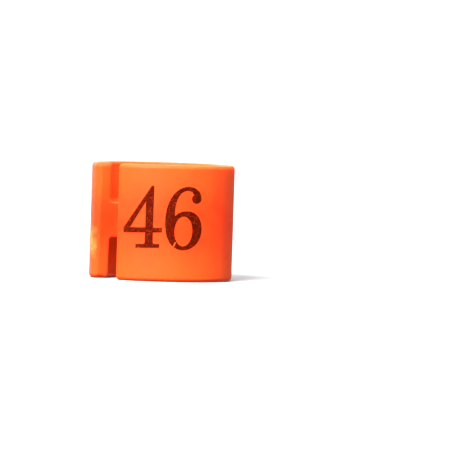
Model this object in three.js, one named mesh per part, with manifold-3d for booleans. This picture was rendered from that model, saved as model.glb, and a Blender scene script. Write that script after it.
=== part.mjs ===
// A numbered clip-on band: a short split cylinder of springy orange plastic. A web across its middle
// has a bore and a slot right through it, so the two halves of the band open about its back like jaws.
// Millimetres, +Z along the band's axis, standing on its lower rim. The number faces -Y.

import * as THREE from "three";
import { mergeVertices } from "three/addons/utils/BufferGeometryUtils.js";
import Module from "manifold-3d";

// The band
const OUTER_RADIUS = 9;
const WALL = 2;
const INNER_RADIUS = OUTER_RADIUS - WALL;
const LENGTH = 14.55;
const RIM_OUTER_ROUND = 0.5;
const RIM_INNER_ROUND = 0.4;

// The slit between the jaws. Each jaw's end lies at its own angle from the slit's middle and is
// rounded as seen from above. The rear one leans, so the slit is a little wider at the lower rim.
const SLIT_DIRECTION = 220; // degrees from +X
const FRONT_TIP = { angle: 10.6, outerRound: 0.5, innerRound: 0.4, lean: 0 };
const REAR_TIP = { angle: 16.5, outerRound: 0.8, innerRound: 0.45, lean: 1.5 };

// The back of the band, opposite the slit, where it bends
const BACK_HALF_ANGLE = 10;
const SPLIT_GAP = 0.3; // between the back and each jaw, room for the inner and outer edges to swing

// The web across the middle
const WEB_BOTTOM = 5.15;
const WEB_TOP = 9.55;
const WEB_FILLET = 0.5;
const WEB_TO_WALL_GAP = 0.05;
const BORE_RADIUS = 2.5;
const NEAR_SLOT = { halfWidthAtBore: 1.35, halfWidthAtMouth: 1.48 };
const FAR_SLOT = { halfWidthAtBore: 1.8, halfWidthAtWall: 2.3, cornerRound: 0.7 };

// The raised scar left on the rear jaw where the plastic entered the mould
const SCAR = { direction: 188, height: 4.8, middle: 4.3, width: 2, proud: 0.14, depth: 0.6 };

// The printed number: a thin layer of ink just clear of the wall
const INK_INNER_RADIUS = OUTER_RADIUS + 0.02;
const INK_OUTER_RADIUS = OUTER_RADIUS + 0.06;
const NUMBER_MIDDLE = { x: 0.07, z: 7.97 }; // seen from the front
const NUMBER_SCALE = 1.035;
const NUMBER_SLOPE = 0.03; // the number is printed a little askew: it rises to the right

const ROUND_SEGMENTS = 72; // around the band
const CURVE_SEGMENTS = 6; // along each curve of a numeral
const BEYOND = 2; // how far a cutter runs past what it cuts
const TIP_OVERLAP = 0.6; // how far the two halves of the slit's cutter run past its middle

const radians = THREE.MathUtils.degToRad;
const wasm = await Module();
wasm.setup();

// ---- solids: geometry to manifold and back ----

function toSolid(geometry) {
  geometry.deleteAttribute("normal");
  geometry.deleteAttribute("uv");
  const merged = mergeVertices(geometry);
  const corners = merged.index.array;
  const triangles = [];
  for (let i = 0; i < corners.length; i += 3) {
    const [a, b, c] = corners.slice(i, i + 3);
    if (a !== b && b !== c && c !== a) {
      triangles.push(a, b, c);
    }
  }
  if (signedVolume(merged.attributes.position, triangles) < 0) {
    triangles.reverse();
  }
  const vertProperties = new Float32Array(merged.attributes.position.array);
  return new wasm.Manifold(
    new wasm.Mesh({ numProp: 3, vertProperties, triVerts: new Uint32Array(triangles) }),
  );
}

function signedVolume(position, triangles) {
  const [a, b, c] = [new THREE.Vector3(), new THREE.Vector3(), new THREE.Vector3()];
  let volume = 0;
  for (let i = 0; i < triangles.length; i += 3) {
    a.fromBufferAttribute(position, triangles[i]);
    b.fromBufferAttribute(position, triangles[i + 1]);
    c.fromBufferAttribute(position, triangles[i + 2]);
    volume += a.dot(b.cross(c)) / 6;
  }
  return volume;
}

function toGeometry(solid) {
  const mesh = solid.getMesh();
  const geometry = new THREE.BufferGeometry();
  geometry.setAttribute("position", new THREE.BufferAttribute(mesh.vertProperties, 3));
  geometry.setIndex(new THREE.BufferAttribute(mesh.triVerts, 1));
  geometry.computeVertexNormals();
  return geometry;
}

function revolved(profile) {
  return toSolid(new THREE.LatheGeometry(profile, ROUND_SEGMENTS).rotateX(Math.PI / 2));
}

// A plan outline (seen from above) made into an upright prism that runs past both rims.
function uprightGeometry(outline) {
  const depth = LENGTH + 2 * BEYOND;
  const settings = { depth, bevelEnabled: false, curveSegments: CURVE_SEGMENTS };
  return new THREE.ExtrudeGeometry(outline, settings).translate(0, 0, -BEYOND);
}

function upright(outline) {
  return toSolid(uprightGeometry(outline));
}

function polar(radius, angle) {
  return new THREE.Vector2(radius * Math.cos(angle), radius * Math.sin(angle));
}

// ---- the plain band and its cutters, drawn with the slit along +X ----

function ringSolid() {
  const section = new THREE.Path();
  const [outer, inner] = [RIM_OUTER_ROUND, RIM_INNER_ROUND];
  section.absarc(OUTER_RADIUS - outer, outer, outer, -Math.PI / 2, 0);
  section.absarc(OUTER_RADIUS - outer, LENGTH - outer, outer, 0, Math.PI / 2);
  section.absarc(INNER_RADIUS + inner, LENGTH - inner, inner, Math.PI / 2, Math.PI);
  section.absarc(INNER_RADIUS + inner, inner, inner, Math.PI, 1.5 * Math.PI);
  section.closePath();
  return revolved(section.getPoints(2));
}

// What is cut away in front of one jaw's end: its outline runs in round the rounded end, and back out
// on the far side of the slit's middle. side is 1 for the front jaw and -1 for the rear one.
function tipCutter(side, { angle, outerRound, innerRound, lean }) {
  const endAngle = radians(angle);
  const outerCentreRadius = OUTER_RADIUS - outerRound;
  const innerCentreRadius = INNER_RADIUS + innerRound;
  const outerAngle = endAngle + Math.asin(outerRound / outerCentreRadius);
  const innerAngle = endAngle + Math.asin(innerRound / innerCentreRadius);
  const outerCentre = polar(outerCentreRadius, outerAngle);
  const innerCentre = polar(innerCentreRadius, innerAngle);
  const points = [polar(OUTER_RADIUS + BEYOND, outerAngle)];
  for (let i = 0; i <= CURVE_SEGMENTS; i += 1) {
    const turn = THREE.MathUtils.lerp(outerAngle, endAngle - Math.PI / 2, i / CURVE_SEGMENTS);
    points.push(polar(outerRound, turn).add(outerCentre));
  }
  for (let i = 0; i <= CURVE_SEGMENTS; i += 1) {
    const turn = THREE.MathUtils.lerp(endAngle - Math.PI / 2, innerAngle - Math.PI, i / CURVE_SEGMENTS);
    points.push(polar(innerRound, turn).add(innerCentre));
  }
  points.push(polar(INNER_RADIUS - BEYOND, innerAngle));
  points.push(new THREE.Vector2(INNER_RADIUS - BEYOND, -TIP_OVERLAP));
  points.push(new THREE.Vector2(OUTER_RADIUS + BEYOND, -TIP_OVERLAP));
  const outline = new THREE.Shape(points.map((point) => new THREE.Vector2(point.x, side * point.y)));
  const slope = Math.tan(radians(lean));
  const leaning = new THREE.Matrix4().makeShear(0, 0, 0, 0, 0, slope);
  leaning.setPosition(0, (-slope * LENGTH) / 2, 0);
  return toSolid(uprightGeometry(outline).applyMatrix4(leaning));
}

// The wedge round the back, its two sides moved outwards by the given distance.
function backWedge(sideOffset) {
  const angle = radians(BACK_HALF_ANGLE);
  const reach = OUTER_RADIUS + BEYOND;
  const tip = sideOffset / Math.sin(angle);
  const halfWidth = (reach + tip) * Math.tan(angle);
  return upright(
    new THREE.Shape([
      new THREE.Vector2(tip, 0),
      new THREE.Vector2(-reach, halfWidth),
      new THREE.Vector2(-reach, -halfWidth),
    ]),
  );
}

function halfPlane(side) {
  const reach = OUTER_RADIUS + BEYOND;
  return upright(
    new THREE.Shape([
      new THREE.Vector2(-reach, 0),
      new THREE.Vector2(reach, 0),
      new THREE.Vector2(reach, side * reach),
      new THREE.Vector2(-reach, side * reach),
    ]),
  );
}

// ---- the moulding's pieces ----

function backSolid() {
  return ringSolid().intersect(backWedge(-SPLIT_GAP / 2));
}

function jawWallSolid(side) {
  return ringSolid()
    .subtract(tipCutter(1, FRONT_TIP))
    .subtract(tipCutter(-1, REAR_TIP))
    .subtract(backWedge(SPLIT_GAP / 2))
    .intersect(halfPlane(side));
}

function scarSolid() {
  const radius = SCAR.proud + SCAR.depth;
  const bump = new THREE.SphereGeometry(1, 16, 12).rotateX(Math.PI / 2);
  bump.scale(radius, SCAR.width / 2, SCAR.height / 2);
  bump.translate(OUTER_RADIUS - SCAR.depth, 0, SCAR.middle);
  return toSolid(bump.rotateZ(radians(SCAR.direction - SLIT_DIRECTION)));
}

function discSolid() {
  const rim = INNER_RADIUS - WEB_TO_WALL_GAP;
  const flat = rim - WEB_FILLET;
  const profile = new THREE.Path();
  profile.moveTo(0, WEB_BOTTOM);
  profile.lineTo(flat, WEB_BOTTOM);
  profile.absarc(flat, WEB_BOTTOM - WEB_FILLET, WEB_FILLET, Math.PI / 2, 0, true);
  profile.absarc(flat, WEB_TOP + WEB_FILLET, WEB_FILLET, 0, -Math.PI / 2, true);
  profile.lineTo(0, WEB_TOP);
  return revolved(profile.getPoints(2));
}

function boreSolid() {
  const outline = new THREE.Shape().absarc(0, 0, BORE_RADIUS, 0, 2 * Math.PI);
  const settings = { depth: LENGTH, bevelEnabled: false, curveSegments: ROUND_SEGMENTS / 2 };
  return toSolid(new THREE.ExtrudeGeometry(outline, settings));
}

function nearSlotSolid() {
  const { halfWidthAtBore, halfWidthAtMouth } = NEAR_SLOT;
  return upright(
    new THREE.Shape([
      new THREE.Vector2(0, -halfWidthAtBore),
      new THREE.Vector2(BORE_RADIUS, -halfWidthAtBore),
      new THREE.Vector2(INNER_RADIUS + BEYOND, -halfWidthAtMouth),
      new THREE.Vector2(INNER_RADIUS + BEYOND, halfWidthAtMouth),
      new THREE.Vector2(BORE_RADIUS, halfWidthAtBore),
      new THREE.Vector2(0, halfWidthAtBore),
    ]),
  );
}

// The far slot ends at the back wall, with its two corners rounded there.
function farSlotSolid() {
  const { halfWidthAtBore, halfWidthAtWall, cornerRound } = FAR_SLOT;
  const cornerStart = Math.sqrt(INNER_RADIUS ** 2 - halfWidthAtWall ** 2) - cornerRound;
  const cornerCentre = halfWidthAtWall - cornerRound;
  const beyondWall = INNER_RADIUS + BEYOND;
  const outline = new THREE.Shape();
  outline.moveTo(0, halfWidthAtBore);
  outline.lineTo(-BORE_RADIUS, halfWidthAtBore);
  outline.lineTo(-cornerStart, halfWidthAtWall);
  outline.absarc(-cornerStart, cornerCentre, cornerRound, Math.PI / 2, Math.PI);
  outline.lineTo(-beyondWall, cornerCentre);
  outline.lineTo(-beyondWall, -cornerCentre);
  outline.absarc(-cornerStart, -cornerCentre, cornerRound, Math.PI, 1.5 * Math.PI);
  outline.lineTo(-BORE_RADIUS, -halfWidthAtBore);
  outline.lineTo(0, -halfWidthAtBore);
  return upright(outline);
}

function gripWebSolid(side) {
  return discSolid()
    .subtract(boreSolid())
    .subtract(nearSlotSolid())
    .subtract(farSlotSolid())
    .intersect(halfPlane(side));
}

// ---- the printed numerals, drawn as seen from the front: x to the right, y up from their middle ----

function numeralFour() {
  const [stemLeft, stemRight] = [-2.06, -1.1];
  const [barLeft, barRight] = [-4.68, -0.02];
  const [barBottom, barTop] = [-1.76, -1.18];
  const [counterLeft, counterBottom, counterTop] = [-3.89, -1.13, 1.94];
  const [serifLeft, serifRight] = [-3.18, -0.29];
  const [serifBottom, serifTop] = [-3.61, -3.14];
  const apex = 3.9;
  const bracket = 0.35;
  const outline = new THREE.Shape();
  outline.moveTo(stemRight, apex);
  outline.lineTo(-1.45, apex);
  outline.lineTo(barLeft, barTop);
  outline.lineTo(barLeft, barBottom);
  outline.lineTo(stemLeft, barBottom);
  outline.lineTo(stemLeft, serifTop + bracket);
  outline.quadraticCurveTo(stemLeft, serifTop, stemLeft - bracket, serifTop);
  outline.lineTo(serifLeft, serifTop);
  outline.lineTo(serifLeft, serifBottom);
  outline.lineTo(serifRight, serifBottom);
  outline.lineTo(serifRight, serifTop);
  outline.lineTo(stemRight + bracket, serifTop);
  outline.quadraticCurveTo(stemRight, serifTop, stemRight, serifTop + bracket);
  outline.lineTo(stemRight, barBottom);
  outline.lineTo(barRight, barBottom);
  outline.lineTo(barRight, barTop);
  outline.lineTo(stemRight, barTop);
  const counter = new THREE.Path();
  counter.moveTo(stemLeft, counterBottom);
  counter.lineTo(counterLeft, counterBottom);
  counter.lineTo(stemLeft, counterTop);
  outline.holes.push(counter);
  return outline;
}

function numeralSix() {
  const ball = { x: 4.06, y: 2.25, radius: 0.58 };
  const ballJoin = (2 / 3) * Math.PI;
  const [left, right] = [0.32, 4.76];
  const [top, bottom] = [3.73, -3.91];
  const outline = new THREE.Shape();
  outline.moveTo(ball.x + ball.radius, ball.y);
  outline.bezierCurveTo(ball.x + ball.radius, 3.1, 3.95, top, 3.05, top);
  outline.bezierCurveTo(1.35, top, left, 1.8, left, -0.4);
  outline.bezierCurveTo(left, -2.75, 1.25, bottom, 2.6, bottom);
  outline.bezierCurveTo(3.85, bottom, right, -2.85, right, -1.45);
  outline.bezierCurveTo(right, -0.05, 3.95, 0.79, 2.95, 0.79);
  outline.bezierCurveTo(2.3, 0.79, 1.8, 0.6, 1.48, 0.2);
  outline.bezierCurveTo(1.42, 2.2, 2.1, 3.24, 3.0, 3.24);
  const join = new THREE.Vector2(
    ball.x + ball.radius * Math.cos(ballJoin),
    ball.y + ball.radius * Math.sin(ballJoin),
  );
  outline.quadraticCurveTo(3.5, 3.22, join.x, join.y);
  outline.absarc(ball.x, ball.y, ball.radius, ballJoin, 2 * Math.PI - 0.1);
  outline.closePath();
  const counter = new THREE.Path();
  counter.absellipse(2.56, -1.64, 1.08, 1.79, 0, 2 * Math.PI, true);
  outline.holes.push(counter);
  return outline;
}

function inkSolid(outline) {
  const shell = revolved([
    new THREE.Vector2(INK_INNER_RADIUS, 0),
    new THREE.Vector2(INK_OUTER_RADIUS, 0),
    new THREE.Vector2(INK_OUTER_RADIUS, LENGTH),
    new THREE.Vector2(INK_INNER_RADIUS, LENGTH),
    new THREE.Vector2(INK_INNER_RADIUS, 0),
  ]);
  const depth = OUTER_RADIUS + BEYOND;
  const settings = { depth, bevelEnabled: false, curveSegments: CURVE_SEGMENTS };
  const stencil = new THREE.ExtrudeGeometry(outline, settings).rotateX(Math.PI / 2);
  stencil.scale(NUMBER_SCALE, 1, NUMBER_SCALE);
  stencil.applyMatrix4(new THREE.Matrix4().makeShear(0, NUMBER_SLOPE, 0, 0, 0, 0));
  return shell.intersect(toSolid(stencil.translate(NUMBER_MIDDLE.x, 0, NUMBER_MIDDLE.z)));
}

// ---- the assembly ----

const orangePlastic = { color: 0xfa5f28, roughness: 0.45, metalness: 0 };
const innerOrange = { color: 0xf25524, roughness: 0.5, metalness: 0 };
const brownInk = { color: 0x8c2410, roughness: 0.7, metalness: 0 };

function piece(name, solid, look) {
  const mesh = new THREE.Mesh(toGeometry(solid), new THREE.MeshStandardMaterial(look));
  mesh.name = name;
  return mesh;
}

const moulding = new THREE.Group();
moulding.rotation.z = radians(SLIT_DIRECTION);
moulding.add(piece("back_spring", backSolid(), orangePlastic));
moulding.add(piece("front_jaw_wall", jawWallSolid(1), orangePlastic));
moulding.add(piece("rear_jaw_wall", jawWallSolid(-1).add(scarSolid()), orangePlastic));
moulding.add(piece("front_grip_web", gripWebSolid(1), innerOrange));
moulding.add(piece("rear_grip_web", gripWebSolid(-1), innerOrange));

const number = new THREE.Group();
number.add(piece("numeral_4", inkSolid(numeralFour()), brownInk));
number.add(piece("numeral_6", inkSolid(numeralSix()), brownInk));

const legBand = new THREE.Group();
legBand.add(moulding, number);

export default legBand;
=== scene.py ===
"""A numbered clip-on band of moulded orange plastic, on a pale studio floor.

The moulding is built as two skins, one for each jaw. Each skin is the surface where a distance
function is zero, so every edge, nose and inside corner has the rounding that a moulding has.
The skins meet at the back of the band, where it bends. Lengths here are millimetres until a mesh
is placed. The moulding is drawn with its slit along +X, and turned into place at the end.
"""

import math

import bmesh
import bpy
import numpy as np
from mathutils import Matrix, Vector, noise


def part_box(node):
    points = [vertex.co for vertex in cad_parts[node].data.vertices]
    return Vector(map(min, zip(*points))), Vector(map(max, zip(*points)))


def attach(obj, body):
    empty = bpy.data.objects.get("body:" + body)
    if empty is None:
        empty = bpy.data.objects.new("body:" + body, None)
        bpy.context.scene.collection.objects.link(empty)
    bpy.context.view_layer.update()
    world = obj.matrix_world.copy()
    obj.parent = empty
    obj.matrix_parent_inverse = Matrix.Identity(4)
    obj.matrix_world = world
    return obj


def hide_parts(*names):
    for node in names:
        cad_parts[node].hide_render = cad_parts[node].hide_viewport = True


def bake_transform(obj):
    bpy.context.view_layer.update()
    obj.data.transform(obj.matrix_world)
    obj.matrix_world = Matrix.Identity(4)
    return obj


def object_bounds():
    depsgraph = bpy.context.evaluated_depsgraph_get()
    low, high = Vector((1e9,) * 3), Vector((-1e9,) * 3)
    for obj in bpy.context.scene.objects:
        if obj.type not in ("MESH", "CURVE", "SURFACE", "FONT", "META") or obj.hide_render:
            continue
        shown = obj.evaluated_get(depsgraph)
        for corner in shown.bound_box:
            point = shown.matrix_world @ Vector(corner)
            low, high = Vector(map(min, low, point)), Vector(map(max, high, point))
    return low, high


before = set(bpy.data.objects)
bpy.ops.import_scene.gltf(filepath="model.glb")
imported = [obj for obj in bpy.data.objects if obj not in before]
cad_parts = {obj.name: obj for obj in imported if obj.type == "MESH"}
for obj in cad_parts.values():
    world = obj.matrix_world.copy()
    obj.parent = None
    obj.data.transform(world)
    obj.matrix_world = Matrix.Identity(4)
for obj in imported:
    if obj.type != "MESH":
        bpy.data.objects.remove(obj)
cad_low, cad_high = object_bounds()

MM = 0.001

# ---- the band's sizes, read from the frame ----

LENGTH = cad_high.z / MM
OUTER_RADIUS = -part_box("front_jaw_wall")[0].y / MM
WALL = 2.0
INNER_RADIUS = OUTER_RADIUS - WALL
MIDDLE_RADIUS = OUTER_RADIUS - WALL / 2
RIM_OUTER_ROUND = 0.5
RIM_INNER_ROUND = 0.4
SLIT_DIRECTION = math.radians(220)

WEB_FILLET = 0.5
WEB_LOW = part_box("front_grip_web")[0].z / MM + WEB_FILLET
WEB_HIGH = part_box("front_grip_web")[1].z / MM - WEB_FILLET
WEB_MIDDLE = (WEB_LOW + WEB_HIGH) / 2
WEB_HALF = (WEB_HIGH - WEB_LOW) / 2
WEB_EDGE_ROUND = 0.16
BORE_RADIUS = 2.5
NEAR_SLOT_HALF_WIDTH = 1.35  # where it meets the bore
NEAR_SLOT_TAPER = 0.028
FAR_SLOT_HALF_WIDTH = 1.8  # where it meets the bore
FAR_SLOT_TAPER = 0.11
SLOT_CORNER_ROUND = 0.12  # where either slot meets the bore, seen from above

# Where the plastic entered the mould: a pale, rough patch. Its middle is at an angle from the slit
# and a height, and it reaches further above its middle than below or beside it.
SCAR = {
    "angle": math.radians(26.5),
    "height": 3.9,
    "above": 2.9,
    "below": 1.5,
    "beside": 1.7,
    "proud": 0.12,
}

NUMBER_X = 0.07
NUMBER_Z = 7.97
NUMBER_SCALE = 1.035
NUMBER_SLOPE = 0.03  # the number is printed a little askew: it rises to the right
PRINT_RADIUS = OUTER_RADIUS + 0.015
PRINT_DEPTH = 0.04
PRINT_STRIP = 0.25  # about the width of the flat strips in a numeral's mesh

# Each jaw's end: its angle from the slit's middle, the rounding of its outer and inner edges, and
# how far it leans towards the slit at the upper rim, as a slope.
FRONT_TIP = {"angle": math.radians(10.6), "outer": 0.5, "inner": 0.4, "lean": 0.0}
REAR_TIP = {
    "angle": math.radians(16.5),
    "outer": 0.8,
    "inner": 0.45,
    "lean": math.tan(math.radians(1.5)),
}


# ---- distances: below zero inside the plastic ----


def rounded_union(a, b, radius):
    """Both solids together, with a fillet where their surfaces meet."""
    from_a = np.maximum(radius - a, 0)
    from_b = np.maximum(radius - b, 0)
    return np.maximum(radius, np.minimum(a, b)) - np.hypot(from_a, from_b)


def rounded_overlap(a, b, radius):
    """What both solids share, with a rounded edge where their surfaces meet."""
    past_a = np.maximum(radius + a, 0)
    past_b = np.maximum(radius + b, 0)
    return np.minimum(-radius, np.maximum(a, b)) + np.hypot(past_a, past_b)


def wall_distance(r, z):
    """The whole ring of the wall, with its four rounded rim edges."""
    rounding = np.where(r > MIDDLE_RADIUS, RIM_OUTER_ROUND, RIM_INNER_ROUND)
    across = np.abs(r - MIDDLE_RADIUS) - WALL / 2 + rounding
    along = np.abs(z - LENGTH / 2) - LENGTH / 2 + rounding
    outside = np.hypot(np.maximum(across, 0), np.maximum(along, 0))
    return outside + np.minimum(np.maximum(across, along), 0) - rounding


def web_distance(x, y, r, z):
    """The web on the +Y side, short of its near slot."""
    far_edge = FAR_SLOT_HALF_WIDTH - FAR_SLOT_TAPER * (x + BORE_RADIUS) - y
    plan = rounded_overlap(BORE_RADIUS - r, far_edge, SLOT_CORNER_ROUND)
    faces = np.abs(z - WEB_MIDDLE) - WEB_HALF
    return np.maximum(rounded_overlap(faces, plan, WEB_EDGE_ROUND), r - MIDDLE_RADIUS)


def jaw_distance(points, tip):
    """One jaw, on the +Y side of the slit. tip describes its free end."""
    x, y, z = points.T
    r = np.hypot(x, y)
    body = rounded_union(wall_distance(r, z), web_distance(x, y, r, z), WEB_FILLET)
    near_edge = NEAR_SLOT_HALF_WIDTH + NEAR_SLOT_TAPER * (x - BORE_RADIUS) - y
    near_edge = np.minimum(near_edge, x)  # this slot is only on the slit's side of the axis
    leaning = y + tip["lean"] * (z - LENGTH / 2)
    end_face = x * math.sin(tip["angle"]) - leaning * math.cos(tip["angle"])
    # the end's edges are barely rounded on the web, more on the wall's inside and most outside
    places = [INNER_RADIUS - 0.5, INNER_RADIUS + 0.2, OUTER_RADIUS - 0.2]
    rounding = np.interp(r, places, [WEB_EDGE_ROUND, tip["inner"], tip["outer"]])
    return rounded_overlap(body, np.maximum(near_edge, end_face), rounding)


# ---- the skin where a distance is zero ----


def steps(*stretches):
    """Grid lines: each stretch is (start, end, spacing), and the next one goes on from its end."""
    lines = [stretches[0][0]]
    for start, end, spacing in stretches:
        count = max(1, round((end - start) / spacing))
        lines.extend(start + (end - start) * (i + 1) / count for i in range(count))
    return np.array(lines)


def polar_points(radii, angles, heights):
    return np.stack([radii * np.cos(angles), radii * np.sin(angles), heights], axis=-1)


def pulled_to_surface(points, distance, seam):
    """Moves points onto the surface. Those in the seam stay in the plane y = 0."""
    nudge = 1e-3
    longest_move = 0.1
    gentlest_slope = 0.25  # squared, so that an edge where the slope fades makes no big move
    rounds = 8
    points[seam, 1] = 0
    for _ in range(rounds):
        away = distance(points)
        slope = np.zeros_like(points)
        for axis in range(3):
            shift = np.zeros(3)
            shift[axis] = nudge
            slope[:, axis] = (distance(points + shift) - distance(points - shift)) / (2 * nudge)
        slope[seam, 1] = 0
        steepness = np.maximum((slope**2).sum(axis=1), gentlest_slope)
        move = np.clip(away / steepness, -longest_move, longest_move)
        points -= move[:, None] * slope
    return points


def surface_net(distance, radii, angles, heights):
    """Vertices and quads of the surface, from a grid in radius, angle and height.
    The last row of cells straddles the half turn, and its vertices lie in the seam there."""
    lines = (radii, angles, heights)
    grid = np.meshgrid(*lines, indexing="ij")
    corners = polar_points(*(g.ravel() for g in grid))
    field = distance(corners).reshape(grid[0].shape)
    cells = np.array(field.shape) - 1
    total = np.zeros((*cells, 3))
    count = np.zeros(cells)
    crossings = []
    for axis in range(3):
        low = np.take(field, range(cells[axis]), axis)
        high = np.take(field, range(1, cells[axis] + 1), axis)
        index = np.argwhere((low < 0) != (high < 0))
        before, after = low[tuple(index.T)], high[tuple(index.T)]
        place = np.stack([lines[i][index[:, i]] for i in range(3)], axis=1)
        gap = lines[axis][index[:, axis] + 1] - lines[axis][index[:, axis]]
        place[:, axis] += gap * before / (before - after)
        u, v = [i for i in range(3) if i != axis]
        ring = []
        for step_u, step_v in ((-1, -1), (0, -1), (0, 0), (-1, 0)):
            cell = index.copy()
            cell[:, u] += step_u
            cell[:, v] += step_v
            inside = ((cell >= 0) & (cell < cells)).all(axis=1)
            np.add.at(total, tuple(cell[inside].T), place[inside])
            np.add.at(count, tuple(cell[inside].T), 1)
            ring.append((cell, inside))
        whole = np.logical_and.reduce([inside for _, inside in ring])
        outward = (before < 0) != (axis == 1)  # radius by height turns the other way
        crossings.append(([cell[whole] for cell, _ in ring], outward[whole]))
    used = count > 0
    number = np.full(cells, -1)
    number[used] = np.arange(used.sum())
    mean = total[used] / count[used][:, None]
    points = polar_points(mean[:, 0], mean[:, 1], mean[:, 2])
    seam = np.nonzero(used)[1] == cells[1] - 1
    faces = []
    for ring, outward in crossings:
        quads = np.stack([number[tuple(cell.T)] for cell in ring], axis=1)
        quads[~outward] = quads[~outward][:, ::-1]
        faces.extend(quads.tolist())
    return pulled_to_surface(points, distance, seam), faces


# ---- from numbers to objects ----


def placed(points):
    """Moulding millimetres to the frame's metres: the slit turned into its direction."""
    turn = np.array(Matrix.Rotation(SLIT_DIRECTION, 3, "Z"))
    return (points @ turn.T) * MM


def new_object(name, data):
    """An object in the scene, from a mesh, a light or a camera."""
    made = bpy.data.objects.new(name, data)
    bpy.context.scene.collection.objects.link(made)
    return made


def write_attribute(mesh, name, values):
    attribute = mesh.attributes.new(name, "FLOAT", "POINT")
    attribute.data.foreach_set("value", values.astype(np.float32))


def close_seam(mesh):
    """Caps the open end at the back, with a crisp edge round the cap."""
    work = bmesh.new()
    work.from_mesh(mesh)
    rim = [e for e in work.edges if e.is_boundary]
    for face in work.faces:
        face.smooth = True
    cap = bmesh.ops.contextual_create(work, geom=rim)["faces"]
    for face in cap:
        face.smooth = False
    for e in rim:
        e.smooth = False
    bmesh.ops.recalc_face_normals(work, faces=work.faces)
    work.to_mesh(mesh)
    work.free()


def grid_lines(scar):
    """Radii, angles and heights of a jaw's grid: close together at edges, jaw ends and fillets, and
    round the scar on the jaw that has it."""
    radii = steps((2.2, 2.9, 0.12), (2.9, 6.2, 0.33), (6.2, 9.3, 0.11))
    beside_scar = 0.6 if scar else 1.5
    degrees = steps(
        (8, 24, 0.7), (24, 48, beside_scar), (48, 130, 1.6),
        (130, 166, 1.1), (166, 179.4, 1.6), (179.4, 180.6, 1.2),
    )
    plain = 0.2 if scar else 0.5
    heights = steps(
        (-0.25, 0.85, 0.11), (0.85, WEB_LOW - 1, plain), (WEB_LOW - 1, WEB_LOW + 0.4, 0.12),
        (WEB_LOW + 0.4, WEB_LOW + 1.6, plain), (WEB_LOW + 1.6, WEB_HIGH - 0.4, 0.5),
        (WEB_HIGH - 0.4, WEB_HIGH + 1, 0.12), (WEB_HIGH + 1, LENGTH - 0.85, 0.5),
        (LENGTH - 0.85, LENGTH + 0.25, 0.11),
    )
    return radii, np.radians(degrees), heights


def scar_amount(points):
    """From 0 to 1: how much of the rough gate scar is at each point of the rear jaw."""
    r = np.hypot(points[:, 0], points[:, 1])
    along = points[:, 2] - SCAR["height"]
    along /= np.where(along > 0, SCAR["above"], SCAR["below"])
    angle = np.arctan2(points[:, 1], points[:, 0])
    across = (angle - SCAR["angle"]) * OUTER_RADIUS / SCAR["beside"]
    outer_end, fading = 1.05, 0.8  # in parts of its reach: where it ends, and how softly
    amount = np.zeros(len(points))
    on_outside = r > OUTER_RADIUS - 0.3
    near = (np.abs(along) < 1.3) & (np.abs(across) < 1.6) & on_outside
    for i in np.nonzero(near)[0]:
        spot = Vector((0, across[i] * 0.9, points[i, 2] * 1.2))
        ragged = noise.noise(spot) * 0.5
        edge = math.hypot(along[i], across[i]) + ragged
        amount[i] = np.clip((outer_end - edge) / fading, 0, 1)
    return amount


def recess_amount(points):
    """From 0 to 1: how far each point is inside the band, off the web's own edges and the rims; it
    masks the painted light in the recesses.
    """
    r = np.hypot(points[:, 0], points[:, 1])
    off_web = np.abs(points[:, 2] - WEB_MIDDLE) - WEB_HALF
    from_rim = LENGTH / 2 - np.abs(points[:, 2] - LENGTH / 2)
    inside = np.interp(r, [INNER_RADIUS + 0.1, INNER_RADIUS + 0.4], [1, 0])
    clear_of_web = np.interp(off_web, [-0.3, 0.5], [0, 1])
    clear_of_rim = np.interp(from_rim, [0.2, 1.0], [0, 1])
    return inside * clear_of_web * clear_of_rim


def roughened(points, amount):
    """Raises the scar in uneven flakes, no higher than the scar stands proud."""
    moved = points.copy()
    for i in np.nonzero(amount)[0]:
        spot = Vector(points[i])
        flakes = 0.55 + 0.5 * noise.noise(spot * 1.5) + 0.3 * noise.noise(spot * 4.0)
        r = math.hypot(points[i, 0], points[i, 1])
        lift = SCAR["proud"] * amount[i] * min(max(flakes, 0.05), 1)
        moved[i, :2] *= (r + lift) / r
    return moved


def jaw_skin(name, tip, side, material, scar=False):
    """One jaw. side is 1 for the jaw on the +Y side of the slit and -1 for the other. Its points
    carry how scarred they are, how deep in a recess, and their distance from the seam in mm."""
    points, faces = surface_net(lambda p: jaw_distance(p, tip), *grid_lines(scar))
    amount = scar_amount(points) if scar else np.zeros(len(points))
    points = roughened(points, amount)
    recess = recess_amount(points)
    from_seam = OUTER_RADIUS * (math.pi - np.arctan2(points[:, 1], points[:, 0]))
    points[:, 1] *= side
    if side < 0:
        faces = [face[::-1] for face in faces]
    mesh = bpy.data.meshes.new(name)
    mesh.from_pydata(placed(points).tolist(), [], faces)
    mesh.materials.append(material)
    write_attribute(mesh, "scar", amount)
    write_attribute(mesh, "recess", recess)
    write_attribute(mesh, "from_seam", from_seam)
    close_seam(mesh)
    return new_object(name, mesh)


# ---- the printed numerals ----


class Outline:
    """A closed outline, drawn as seen from the front: x to the right, y up, in millimetres."""

    def __init__(self, x, y):
        self.points = [(x, y)]

    def line(self, x, y):
        self.points.append((x, y))

    def bend(self, x1, y1, x2, y2, x, y, count=14):
        """A smooth bend to (x, y). The two points before it are the handles."""
        corners = (self.points[-1], (x1, y1), (x2, y2), (x, y))
        for i in range(1, count + 1):
            t = i / count
            weights = ((1 - t) ** 3, 3 * t * (1 - t) ** 2, 3 * t * t * (1 - t), t**3)
            point = tuple(sum(w * c[k] for w, c in zip(weights, corners)) for k in (0, 1))
            self.points.append(point)

    def arc(self, x, y, radius, start, end, count=20, height=None):
        """Part of a circle round (x, y), or of an ellipse where height is its upward radius."""
        upward = height or radius
        for i in range(count + 1):
            turn = math.radians(start + (end - start) * i / count)
            self.points.append((x + radius * math.cos(turn), y + upward * math.sin(turn)))


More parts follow.
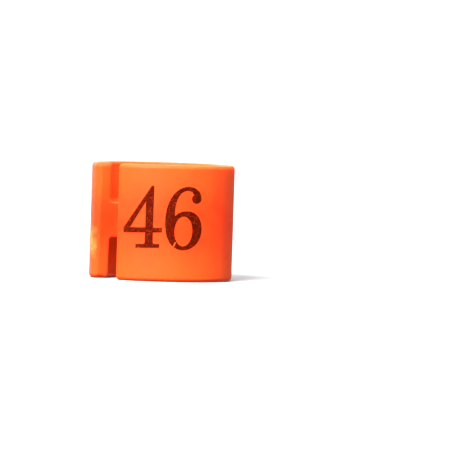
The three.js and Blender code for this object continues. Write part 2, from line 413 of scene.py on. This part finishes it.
def numeral_four():
    stem_left, stem_right = -2.06, -1.10
    bar_left, bar_right, bar_low, bar_high = -4.68, -0.02, -1.76, -1.18
    serif_left, serif_right, serif_low, serif_high = -3.18, -0.29, -3.61, -3.14
    apex, soft, bracket = 3.9, 0.1, 0.35
    outer = Outline(stem_right, apex - soft)
    outer.bend(stem_right, apex, stem_right - soft, apex, stem_right - 2 * soft, apex, 4)
    outer.line(stem_right - 0.3, apex)
    outer.line(bar_left, bar_high)
    outer.line(bar_left, bar_low)
    outer.line(stem_left, bar_low)
    outer.line(stem_left, serif_high + bracket)
    outer.bend(
        stem_left, serif_high + 0.05, stem_left - 0.05, serif_high,
        stem_left - bracket, serif_high, 6,
    )
    outer.line(serif_left, serif_high)
    outer.line(serif_left, serif_low)
    outer.line(serif_right, serif_low)
    outer.line(serif_right, serif_high)
    outer.line(stem_right + bracket, serif_high)
    outer.bend(
        stem_right + 0.05, serif_high, stem_right, serif_high + 0.05,
        stem_right, serif_high + bracket, 6,
    )
    outer.line(stem_right, bar_low)
    outer.line(bar_right, bar_low)
    outer.line(bar_right, bar_high)
    outer.line(stem_right, bar_high)
    counter_low, counter_high, counter_left = -1.13, 1.94, -3.89
    counter = Outline(stem_left, counter_low)
    counter.line(counter_left, counter_low)
    counter.line(stem_left, counter_high)
    return outer.points, counter.points


def numeral_six():
    ball_x, ball_y, ball = 4.06, 2.25, 0.58
    left, right, top, bottom = 0.32, 4.76, 3.73, -3.91
    outer = Outline(ball_x + ball, ball_y)
    outer.bend(ball_x + ball, 3.1, 3.95, top, 3.05, top)
    outer.bend(1.35, top, left, 1.8, left, -0.4, 20)
    outer.bend(left, -2.75, 1.25, bottom, 2.6, bottom, 20)
    outer.bend(3.85, bottom, right, -2.85, right, -1.45)
    outer.bend(right, -0.05, 3.95, 0.79, 2.95, 0.79)
    outer.bend(2.3, 0.79, 1.8, 0.6, 1.48, 0.2)
    outer.bend(1.42, 2.2, 2.1, 3.24, 3.0, 3.24, 20)
    outer.bend(3.35, 3.22, 3.6, 3.02, 3.75, 2.73, 6)
    outer.arc(ball_x, ball_y, ball, 125, 355)
    hole_x, hole_y, hole_across, hole_up = 2.56, -1.64, 1.08, 1.79
    counter = Outline(hole_x + hole_across, hole_y)
    counter.arc(hole_x, hole_y, hole_across, -5, -355, 48, height=hole_up)
    return outer.points, counter.points


def numeral(node, outlines, material):
    """A numeral's two outlines filled, cut into narrow strips, thickened and laid on the wall."""
    work = bmesh.new()
    for outline in outlines:
        ring = [work.verts.new((x * NUMBER_SCALE, 0, y * NUMBER_SCALE)) for x, y in outline]
        for a, b in zip(ring, ring[1:] + ring[:1]):
            work.edges.new((a, b))
    bmesh.ops.triangle_fill(work, use_beauty=True, edges=work.edges)
    low = min(v.co.x for v in work.verts)
    high = max(v.co.x for v in work.verts)
    strips = round((high - low) / PRINT_STRIP)
    for i in range(1, strips):
        cut = low + (high - low) * i / strips
        everything = work.verts[:] + work.edges[:] + work.faces[:]
        bmesh.ops.bisect_plane(
            work, geom=everything, plane_co=(cut, 0, 0), plane_no=(1, 0, 0), dist=1e-5
        )
    back = bmesh.ops.extrude_face_region(work, geom=work.faces[:])["geom"]
    for v in back:
        if isinstance(v, bmesh.types.BMVert):
            v.co.y = PRINT_DEPTH
    bmesh.ops.recalc_face_normals(work, faces=work.faces)
    for v in work.verts:
        radius = PRINT_RADIUS - v.co.y
        x = v.co.x + NUMBER_X
        z = v.co.z + NUMBER_Z + NUMBER_SLOPE * v.co.x
        v.co = Vector((x, -math.sqrt(radius**2 - x * x), z)) * MM
    mesh = bpy.data.meshes.new(node + "_print")
    work.to_mesh(mesh)
    work.free()
    mesh.materials.append(material)
    piece = new_object(node + "_print", mesh)
    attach(piece, "front_jaw")
    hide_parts(node)


# ---- materials: colours are linear red, green and blue, and grains are in millimetres ----

# painted shade and light: the wall's colour at the web's height, by the rims and in the recesses
PLASTIC_PAINTED_SHADE_OVER_WEB = (0.84, 0.038, 0.004)
PLASTIC_PAINTED_LIGHT_BY_RIMS = (0.84, 0.067, 0.008)
PLASTIC_PAINTED_LIGHT_IN_RECESS = (0.84, 0.120, 0.016)
PLASTIC_CLOUD = (0.88, 0.092, 0.009)
PLASTIC_FLECK = (0.80, 0.040, 0.004)
PLASTIC_TORN = (0.95, 0.21, 0.050)
INK = (0.058, 0.0022, 0.0002)
INK_SPECK = (0.24, 0.023, 0.004)
INK_FADED = (0.095, 0.006, 0.0008)
INK_SCRATCHED = (0.85, 0.085, 0.014)
FLOOR_DARK = (0.295, 0.295, 0.295)
FLOOR_LIGHT = (0.315, 0.315, 0.315)


class Shading:
    """A node tree, and the kinds of node that this scene puts in one."""

    def __init__(self, tree):
        self.nodes = tree.nodes
        self.link = tree.links.new

    def place(self):
        """Where each point is, in metres."""
        return self.nodes.new("ShaderNodeTexCoord").outputs["Object"]

    def split(self, place):
        """A place's three coordinates."""
        node = self.nodes.new("ShaderNodeSeparateXYZ")
        self.link(place, node.inputs[0])
        return node.outputs

    def attribute(self, name):
        """A number that the mesh's points carry."""
        node = self.nodes.new("ShaderNodeAttribute")
        node.attribute_name = name
        return node.outputs["Fac"]

    def calculated(self, operation, *values):
        """A Math node. Each value is a number or another node's output."""
        node = self.nodes.new("ShaderNodeMath")
        node.operation = operation
        for i, value in enumerate(values):
            if isinstance(value, (int, float)):
                node.inputs[i].default_value = value
            else:
                self.link(value, node.inputs[i])
        return node.outputs[0]

    def grainy(self, place, grain, detail=2.0, roughness=0.5):
        """Noise whose blotches are about grain millimetres across."""
        node = self.nodes.new("ShaderNodeTexNoise")
        node.inputs["Scale"].default_value = 1 / (grain * MM)
        node.inputs["Detail"].default_value = detail
        node.inputs["Roughness"].default_value = roughness
        self.link(place, node.inputs["Vector"])
        return node.outputs["Fac"]

    def spread(self, value, low, high, to_low=0.0, to_high=1.0):
        """The value's range low to high, smoothly spread over another range."""
        node = self.nodes.new("ShaderNodeMapRange")
        node.interpolation_type = "SMOOTHSTEP"
        for socket, number in zip(node.inputs[1:5], (low, high, to_low, to_high)):
            socket.default_value = number
        self.link(value, node.inputs["Value"])
        return node.outputs["Result"]

    def blended(self, amount, first, second):
        """A colour between two: each is a fixed colour or another node's output."""
        node = self.nodes.new("ShaderNodeMix")
        node.data_type = "RGBA"
        self.link(amount, node.inputs["Factor"])
        for socket, colour in ((node.inputs[6], first), (node.inputs[7], second)):
            if isinstance(colour, tuple):
                socket.default_value = (*colour, 1)
            else:
                self.link(colour, socket)
        return node.outputs[2]

    def bumps(self, shader, height, depth):
        """Height as bump, its full range being depth millimetres."""
        node = self.nodes.new("ShaderNodeBump")
        node.inputs["Distance"].default_value = depth * MM
        self.link(height, node.inputs["Height"])
        self.link(node.outputs["Normal"], shader.inputs["Normal"])


def new_material(name):
    """A material, the nodes it is shaded with, and its shader."""
    material = bpy.data.materials.new(name)
    material.use_nodes = True
    tree = material.node_tree
    return material, Shading(tree), tree.nodes["Principled BSDF"]


def orange_plastic():
    """Translucent polypropylene: cloudy pigment, a fine moulded texture, a torn, paler scar, and
    painted shade and light on the wall and in the recesses.
    """
    material, shading, shader = new_material("orange_plastic")
    place = shading.place()
    scar = shading.attribute("scar")

    # painted shade and light: the wall is painted darker at the web's height and lighter towards
    # both rims, for how light falls on and through it
    above_web = shading.calculated("SUBTRACT", shading.split(place)[2], WEB_MIDDLE * MM)
    off_web = shading.calculated("ABSOLUTE", above_web)
    pale = shading.spread(off_web, 0.0, 6.5 * MM)
    colour = shading.blended(pale, PLASTIC_PAINTED_SHADE_OVER_WEB, PLASTIC_PAINTED_LIGHT_BY_RIMS)
    # painted light: inside the recesses the colour is paler, for the light that falls into them
    painted_recess_light = shading.spread(shading.attribute("recess"), 0.0, 1.0, 0.0, 0.65)
    colour = shading.blended(painted_recess_light, colour, PLASTIC_PAINTED_LIGHT_IN_RECESS)
    clouds = shading.spread(shading.grainy(place, 2.6, 3.0), 0.35, 0.7, 0.0, 0.22)
    colour = shading.blended(clouds, colour, PLASTIC_CLOUD)
    flecks = shading.spread(shading.grainy(place, 0.22), 0.60, 0.78, 0.0, 0.22)
    colour = shading.blended(flecks, colour, PLASTIC_FLECK)
    torn = shading.grainy(place, 0.5, 3.0, 0.6)
    patchy = shading.spread(torn, 0.25, 0.65, 0.35, 1.0)
    scarred = shading.calculated("MULTIPLY", scar, patchy)
    colour = shading.blended(scarred, colour, PLASTIC_TORN)
    shading.link(colour, shader.inputs["Base Color"])

    scuffs = shading.spread(shading.grainy(place, 1.1, 4.0, 0.7), 0.45, 0.75, 0.50, 0.66)
    rough = shading.calculated("MULTIPLY_ADD", scar, 0.2, scuffs)
    shading.link(rough, shader.inputs["Roughness"])

    # a fine grain, on a slower swell 2.2 times as high, and the scar's rags 9 times as high
    grain = shading.grainy(place, 0.16, 2.0, 0.6)
    swell = shading.grainy(place, 1.4, 1.0)
    height = shading.calculated("MULTIPLY_ADD", swell, 2.2, grain)
    ragged = shading.calculated("MULTIPLY", torn, scar)
    height = shading.calculated("MULTIPLY_ADD", ragged, 9.0, height)
    shading.bumps(shader, height, 0.008)

    shader.inputs["Specular IOR Level"].default_value = 0.12
    # light does not pass from one skin to the other, so it stops scattering before their seam
    scatter = shading.spread(shading.attribute("from_seam"), 1.0, 5.0, 0.0, 0.6)
    shading.link(scatter, shader.inputs["Subsurface Weight"])
    shader.inputs["Subsurface Radius"].default_value = (1.2, 0.6, 0.15)
    shader.inputs["Subsurface Scale"].default_value = 0.001
    return material


def scratch_amount(shading, place):
    """From 0 to 1: a short line low in the six, leaning to the right, with ragged sides."""
    centre_x, centre_z = 1.52 * MM, 4.45 * MM
    lean = math.radians(24)
    axes = shading.split(place)
    right = shading.calculated("SUBTRACT", axes[0], centre_x)
    up = shading.calculated("SUBTRACT", axes[2], centre_z)
    along = shading.calculated(
        "ADD",
        shading.calculated("MULTIPLY", right, math.sin(lean)),
        shading.calculated("MULTIPLY", up, math.cos(lean)),
    )
    across = shading.calculated(
        "SUBTRACT",
        shading.calculated("MULTIPLY", right, math.cos(lean)),
        shading.calculated("MULTIPLY", up, math.sin(lean)),
    )
    wander = shading.calculated("SUBTRACT", shading.grainy(place, 0.25), 0.5)
    across = shading.calculated("MULTIPLY_ADD", wander, 0.22 * MM, across)
    aside = shading.calculated("ABSOLUTE", across)
    beyond = shading.calculated("ABSOLUTE", along)
    beside = shading.spread(aside, 0.04 * MM, 0.10 * MM, 1.0, 0.0)
    within = shading.spread(beyond, 0.45 * MM, 0.7 * MM, 1.0, 0.0)
    return shading.calculated("MULTIPLY", beside, within)


def print_ink():
    """Brown print, worn to red specks, with one scratch down to the plastic."""
    material, shading, shader = new_material("print_ink")
    place = shading.place()
    specks = shading.spread(shading.grainy(place, 0.16, 2.0, 0.6), 0.52, 0.70)
    colour = shading.blended(specks, INK, INK_SPECK)
    faded = shading.spread(shading.grainy(place, 0.7), 0.50, 0.72, 0.0, 0.6)
    colour = shading.blended(faded, colour, INK_FADED)
    colour = shading.blended(scratch_amount(shading, place), colour, INK_SCRATCHED)
    shading.link(colour, shader.inputs["Base Color"])

    rough = shading.spread(specks, 0.0, 1.0, 0.62, 0.85)
    shading.link(rough, shader.inputs["Roughness"])
    shading.bumps(shader, specks, 0.006)
    shader.inputs["Specular IOR Level"].default_value = 0.01
    return material


def pale_floor():
    material, shading, shader = new_material("pale_floor")
    tooth = shading.grainy(shading.place(), 0.8)
    colour = shading.blended(tooth, FLOOR_DARK, FLOOR_LIGHT)
    shading.link(colour, shader.inputs["Base Color"])
    shader.inputs["Roughness"].default_value = 0.9
    shader.inputs["Specular IOR Level"].default_value = 0.1
    return material


# ---- the pieces ----

plastic = orange_plastic()
ink = print_ink()

front = jaw_skin("front_jaw_moulding", FRONT_TIP, 1, plastic)
rear = jaw_skin("rear_jaw_moulding", REAR_TIP, -1, plastic, scar=True)
numeral("numeral_4", numeral_four(), ink)
numeral("numeral_6", numeral_six(), ink)

for jaw, body, side, nodes in (
    (front, "front_jaw", 1, ("back_spring", "front_jaw_wall", "front_grip_web")),
    (rear, "rear_jaw", -1, ("rear_jaw_wall", "rear_grip_web")),
):
    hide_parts(*nodes)
    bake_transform(jaw)


# ---- the studio ----

FRAME_WIDTH = 0.0578  # what the picture's width covers at the band, in metres
FLOOR_RADIUS = 6  # metres
FLOOR_GAP = 0.01 * MM  # keeps the floor clear of the lower rim, which would lie in the same plane


def studio_floor():
    bpy.ops.mesh.primitive_circle_add(
        vertices=96, radius=FLOOR_RADIUS, fill_type="NGON", location=(0, 0, -FLOOR_GAP)
    )
    floor = bpy.context.object
    floor.name = "studio_floor"
    floor.visible_diffuse = False  # it throws no light back up at the band
    floor.visible_glossy = False
    floor.data.materials.append(pale_floor())


def sun_light(name, azimuth, elevation, breadth, strength):
    """A broad, distant light. Azimuth 0 is the camera's side, and positive is to its right."""
    light = bpy.data.lights.new(name, "SUN")
    light.angle = math.radians(breadth)
    light.energy = strength
    a, e = math.radians(azimuth), math.radians(elevation)
    towards = Vector((math.sin(a) * math.cos(e), -math.cos(a) * math.cos(e), math.sin(e)))
    lamp = new_object(name, light)
    lamp.rotation_euler = towards.to_track_quat("Z", "Y").to_euler()


def camera():
    """Looks at the number from just above the band's middle, with the band left of the centre."""
    distance = 0.7
    elevation = math.radians(1.9)
    roll = math.radians(1.8)
    sensor = 36
    data = bpy.data.cameras.new("camera")
    data.sensor_width = sensor
    data.lens = sensor * distance / FRAME_WIDTH
    data.clip_start = 0.005
    data.clip_end = 20
    data.shift_x = 0.1465
    data.shift_y = -0.0172
    back = distance * math.cos(elevation)
    up = LENGTH / 2 * MM + distance * math.sin(elevation)
    tilt = Matrix.Rotation(math.pi / 2 - elevation, 4, "X") @ Matrix.Rotation(roll, 4, "Z")
    eye = new_object("camera", data)
    eye.matrix_world = Matrix.Translation((0, -back, up)) @ tilt
    bpy.context.scene.camera = eye


def studio_world():
    """White to look at, and a dim, even light on everything."""
    world = bpy.data.worlds.new("studio")
    bpy.context.scene.world = world
    world.use_nodes = True
    shading = Shading(world.node_tree)
    seen = shading.nodes.new("ShaderNodeLightPath").outputs["Is Camera Ray"]
    backdrop, ambient = 1.05, 0.46
    strength = shading.calculated("MULTIPLY_ADD", seen, backdrop - ambient, ambient)
    background = shading.nodes["Background"]
    background.inputs["Color"].default_value = (1, 1, 1, 1)
    shading.link(strength, background.inputs["Strength"])


studio_floor()
sun_light("key", azimuth=-27, elevation=42, breadth=26, strength=12.5)
sun_light("top", azimuth=20, elevation=74, breadth=50, strength=4.1)
sun_light("fill", azimuth=-158, elevation=28, breadth=60, strength=2.4)
studio_world()
camera()
bpy.context.scene.view_settings.view_transform = "Standard"
